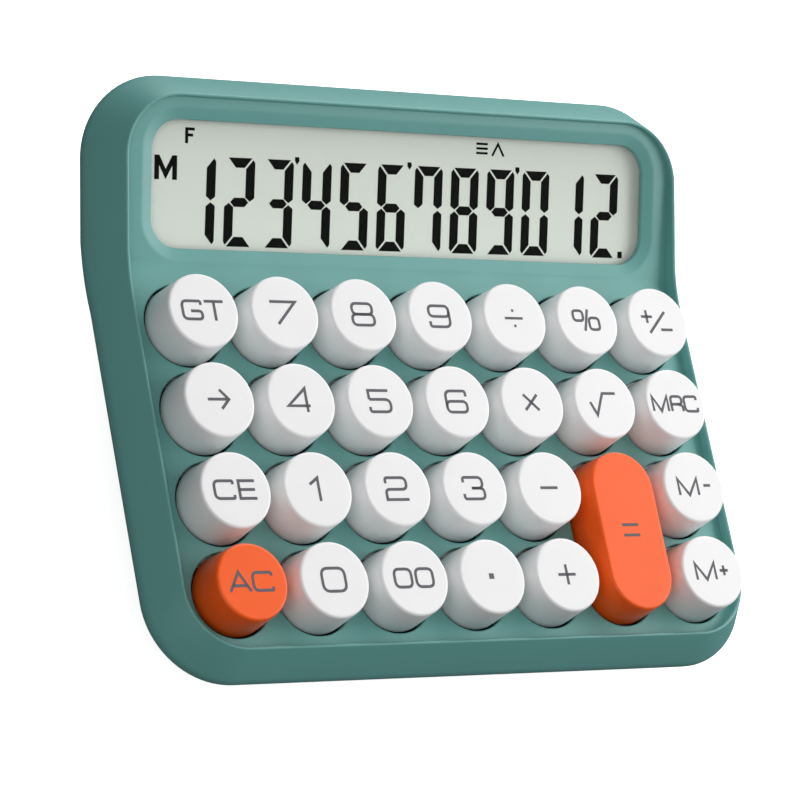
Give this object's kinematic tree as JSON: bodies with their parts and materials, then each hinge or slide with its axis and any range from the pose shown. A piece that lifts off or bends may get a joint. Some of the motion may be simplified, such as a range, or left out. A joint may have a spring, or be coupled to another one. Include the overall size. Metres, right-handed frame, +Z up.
{
  "type": "desktop calculator",
  "caption": "Desktop calculator with a raised rim, a sloping liquid-crystal display and tall round keycaps that travel on mechanical switches, one of them double height.",
  "frame": {"origin": "centre of the bounding box's base, on the surface that the feet stand on", "axes": "+X to the user's right along the rows of keys, +Y away from the user towards the display, +Z up"},
  "size_m": [0.148, 0.1236, 0.0482],
  "materials": {
    "case_teal": "fine moulded texture, satin",
    "cap_white": "smooth satin",
    "cap_orange": "smooth satin",
    "window": "clear polished acrylic",
    "lcd": "polarised glass, grey-green",
    "reflector": "satin white film",
    "dark_plastic": "moulded",
    "clear_plastic": "translucent moulded",
    "natural_plastic": "moulded",
    "elastomer": "striped silicone",
    "board": "solder mask",
    "epoxy": "glob top",
    "ribbon": "flat film cable",
    "steel": "plated",
    "contact_metal": "tinned",
    "foot_rubber": "matte",
    "cell_jacket": "plain jacket",
    "lead_jacket": "insulated wire"
  },
  "bodies": {
    "root": {"front_case": "case_teal", "rear_case": "case_teal", "window_lens": "window", "lcd_panel": "lcd", "lcd_reflector": "reflector", "lcd_holder": "dark_plastic", "connector_strips": "elastomer", "display_board": "board", "controller_chip": "epoxy", "ribbon_cable": "ribbon", "key_board": "board", "switch_plate": "steel", "switch_bases": "dark_plastic", "switch_covers": "clear_plastic", "switch_springs": "steel", "switch_contacts": "contact_metal", "long_key_guides": "natural_plastic", "case_screws": "steel", "board_screws": "steel", "display_screws": "steel", "front_feet": "foot_rubber", "rear_feet": "foot_rubber", "battery_cells": "cell_jacket", "battery_contacts": "steel", "battery_leads": "lead_jacket"},
    "key_gt": {"key_gt": "cap_white"},
    "key_7": {"key_7": "cap_white"},
    "key_8": {"key_8": "cap_white"},
    "key_9": {"key_9": "cap_white"},
    "key_divide": {"key_divide": "cap_white"},
    "key_percent": {"key_percent": "cap_white"},
    "key_sign": {"key_sign": "cap_white"},
    "key_backspace": {"key_backspace": "cap_white"},
    "key_4": {"key_4": "cap_white"},
    "key_5": {"key_5": "cap_white"},
    "key_6": {"key_6": "cap_white"},
    "key_multiply": {"key_multiply": "cap_white"},
    "key_root": {"key_root": "cap_white"},
    "key_mrc": {"key_mrc": "cap_white"},
    "key_ce": {"key_ce": "cap_white"},
    "key_1": {"key_1": "cap_white"},
    "key_2": {"key_2": "cap_white"},
    "key_3": {"key_3": "cap_white"},
    "key_minus": {"key_minus": "cap_white"},
    "key_equals": {"key_equals": "cap_orange"},
    "key_m_minus": {"key_m_minus": "cap_white"},
    "key_ac": {"key_ac": "cap_orange"},
    "key_0": {"key_0": "cap_white"},
    "key_00": {"key_00": "cap_white"},
    "key_point": {"key_point": "cap_white"},
    "key_plus": {"key_plus": "cap_white"},
    "key_m_plus": {"key_m_plus": "cap_white"},
    "battery_door": {"battery_door": "case_teal"}
  },
  "joints": [
    {"name": "press_gt", "type": "slide", "parent": "root", "child": "key_gt", "axis": [0, 0.1392, -0.9903], "range_m": [0, 0.0035], "stiffness_N_per_m": 60, "springref_m": -0.008, "deforming": ["switch_springs"]},
    {"name": "press_7", "type": "slide", "parent": "root", "child": "key_7", "axis": [0, 0.1392, -0.9903], "range_m": [0, 0.0035], "stiffness_N_per_m": 60, "springref_m": -0.008, "deforming": ["switch_springs"]},
    {"name": "press_8", "type": "slide", "parent": "root", "child": "key_8", "axis": [0, 0.1392, -0.9903], "range_m": [0, 0.0035], "stiffness_N_per_m": 60, "springref_m": -0.008, "deforming": ["switch_springs"]},
    {"name": "press_9", "type": "slide", "parent": "root", "child": "key_9", "axis": [0, 0.1392, -0.9903], "range_m": [0, 0.0035], "stiffness_N_per_m": 60, "springref_m": -0.008, "deforming": ["switch_springs"]},
    {"name": "press_divide", "type": "slide", "parent": "root", "child": "key_divide", "axis": [0, 0.1392, -0.9903], "range_m": [0, 0.0035], "stiffness_N_per_m": 60, "springref_m": -0.008, "deforming": ["switch_springs"]},
    {"name": "press_percent", "type": "slide", "parent": "root", "child": "key_percent", "axis": [0, 0.1392, -0.9903], "range_m": [0, 0.0035], "stiffness_N_per_m": 60, "springref_m": -0.008, "deforming": ["switch_springs"]},
    {"name": "press_sign", "type": "slide", "parent": "root", "child": "key_sign", "axis": [0, 0.1392, -0.9903], "range_m": [0, 0.0035], "stiffness_N_per_m": 60, "springref_m": -0.008, "deforming": ["switch_springs"]},
    {"name": "press_backspace", "type": "slide", "parent": "root", "child": "key_backspace", "axis": [0, 0.1392, -0.9903], "range_m": [0, 0.0035], "stiffness_N_per_m": 60, "springref_m": -0.008, "deforming": ["switch_springs"]},
    {"name": "press_4", "type": "slide", "parent": "root", "child": "key_4", "axis": [0, 0.1392, -0.9903], "range_m": [0, 0.0035], "stiffness_N_per_m": 60, "springref_m": -0.008, "deforming": ["switch_springs"]},
    {"name": "press_5", "type": "slide", "parent": "root", "child": "key_5", "axis": [0, 0.1392, -0.9903], "range_m": [0, 0.0035], "stiffness_N_per_m": 60, "springref_m": -0.008, "deforming": ["switch_springs"]},
    {"name": "press_6", "type": "slide", "parent": "root", "child": "key_6", "axis": [0, 0.1392, -0.9903], "range_m": [0, 0.0035], "stiffness_N_per_m": 60, "springref_m": -0.008, "deforming": ["switch_springs"]},
    {"name": "press_multiply", "type": "slide", "parent": "root", "child": "key_multiply", "axis": [0, 0.1392, -0.9903], "range_m": [0, 0.0035], "stiffness_N_per_m": 60, "springref_m": -0.008, "deforming": ["switch_springs"]},
    {"name": "press_root", "type": "slide", "parent": "root", "child": "key_root", "axis": [0, 0.1392, -0.9903], "range_m": [0, 0.0035], "stiffness_N_per_m": 60, "springref_m": -0.008, "deforming": ["switch_springs"]},
    {"name": "press_mrc", "type": "slide", "parent": "root", "child": "key_mrc", "axis": [0, 0.1392, -0.9903], "range_m": [0, 0.0035], "stiffness_N_per_m": 60, "springref_m": -0.008, "deforming": ["switch_springs"]},
    {"name": "press_ce", "type": "slide", "parent": "root", "child": "key_ce", "axis": [0, 0.1392, -0.9903], "range_m": [0, 0.0035], "stiffness_N_per_m": 60, "springref_m": -0.008, "deforming": ["switch_springs"]},
    {"name": "press_1", "type": "slide", "parent": "root", "child": "key_1", "axis": [0, 0.1392, -0.9903], "range_m": [0, 0.0035], "stiffness_N_per_m": 60, "springref_m": -0.008, "deforming": ["switch_springs"]},
    {"name": "press_2", "type": "slide", "parent": "root", "child": "key_2", "axis": [0, 0.1392, -0.9903], "range_m": [0, 0.0035], "stiffness_N_per_m": 60, "springref_m": -0.008, "deforming": ["switch_springs"]},
    {"name": "press_3", "type": "slide", "parent": "root", "child": "key_3", "axis": [0, 0.1392, -0.9903], "range_m": [0, 0.0035], "stiffness_N_per_m": 60, "springref_m": -0.008, "deforming": ["switch_springs"]},
    {"name": "press_minus", "type": "slide", "parent": "root", "child": "key_minus", "axis": [0, 0.1392, -0.9903], "range_m": [0, 0.0035], "stiffness_N_per_m": 60, "springref_m": -0.008, "deforming": ["switch_springs"]},
    {"name": "press_equals", "type": "slide", "parent": "root", "child": "key_equals", "axis": [0, 0.1392, -0.9903], "range_m": [0, 0.0035], "stiffness_N_per_m": 60, "springref_m": -0.008, "deforming": ["switch_springs"]},
    {"name": "press_m_minus", "type": "slide", "parent": "root", "child": "key_m_minus", "axis": [0, 0.1392, -0.9903], "range_m": [0, 0.0035], "stiffness_N_per_m": 60, "springref_m": -0.008, "deforming": ["switch_springs"]},
    {"name": "press_ac", "type": "slide", "parent": "root", "child": "key_ac", "axis": [0, 0.1392, -0.9903], "range_m": [0, 0.0035], "stiffness_N_per_m": 60, "springref_m": -0.008, "deforming": ["switch_springs"]},
    {"name": "press_0", "type": "slide", "parent": "root", "child": "key_0", "axis": [0, 0.1392, -0.9903], "range_m": [0, 0.0035], "stiffness_N_per_m": 60, "springref_m": -0.008, "deforming": ["switch_springs"]},
    {"name": "press_00", "type": "slide", "parent": "root", "child": "key_00", "axis": [0, 0.1392, -0.9903], "range_m": [0, 0.0035], "stiffness_N_per_m": 60, "springref_m": -0.008, "deforming": ["switch_springs"]},
    {"name": "press_point", "type": "slide", "parent": "root", "child": "key_point", "axis": [0, 0.1392, -0.9903], "range_m": [0, 0.0035], "stiffness_N_per_m": 60, "springref_m": -0.008, "deforming": ["switch_springs"]},
    {"name": "press_plus", "type": "slide", "parent": "root", "child": "key_plus", "axis": [0, 0.1392, -0.9903], "range_m": [0, 0.0035], "stiffness_N_per_m": 60, "springref_m": -0.008, "deforming": ["switch_springs"]},
    {"name": "press_m_plus", "type": "slide", "parent": "root", "child": "key_m_plus", "axis": [0, 0.1392, -0.9903], "range_m": [0, 0.0035], "stiffness_N_per_m": 60, "springref_m": -0.008, "deforming": ["switch_springs"]},
    {"name": "battery_door_slide", "type": "slide", "parent": "root", "child": "battery_door", "axis": [0, 1, 0], "range_m": [0, 0.03]}
  ]
}
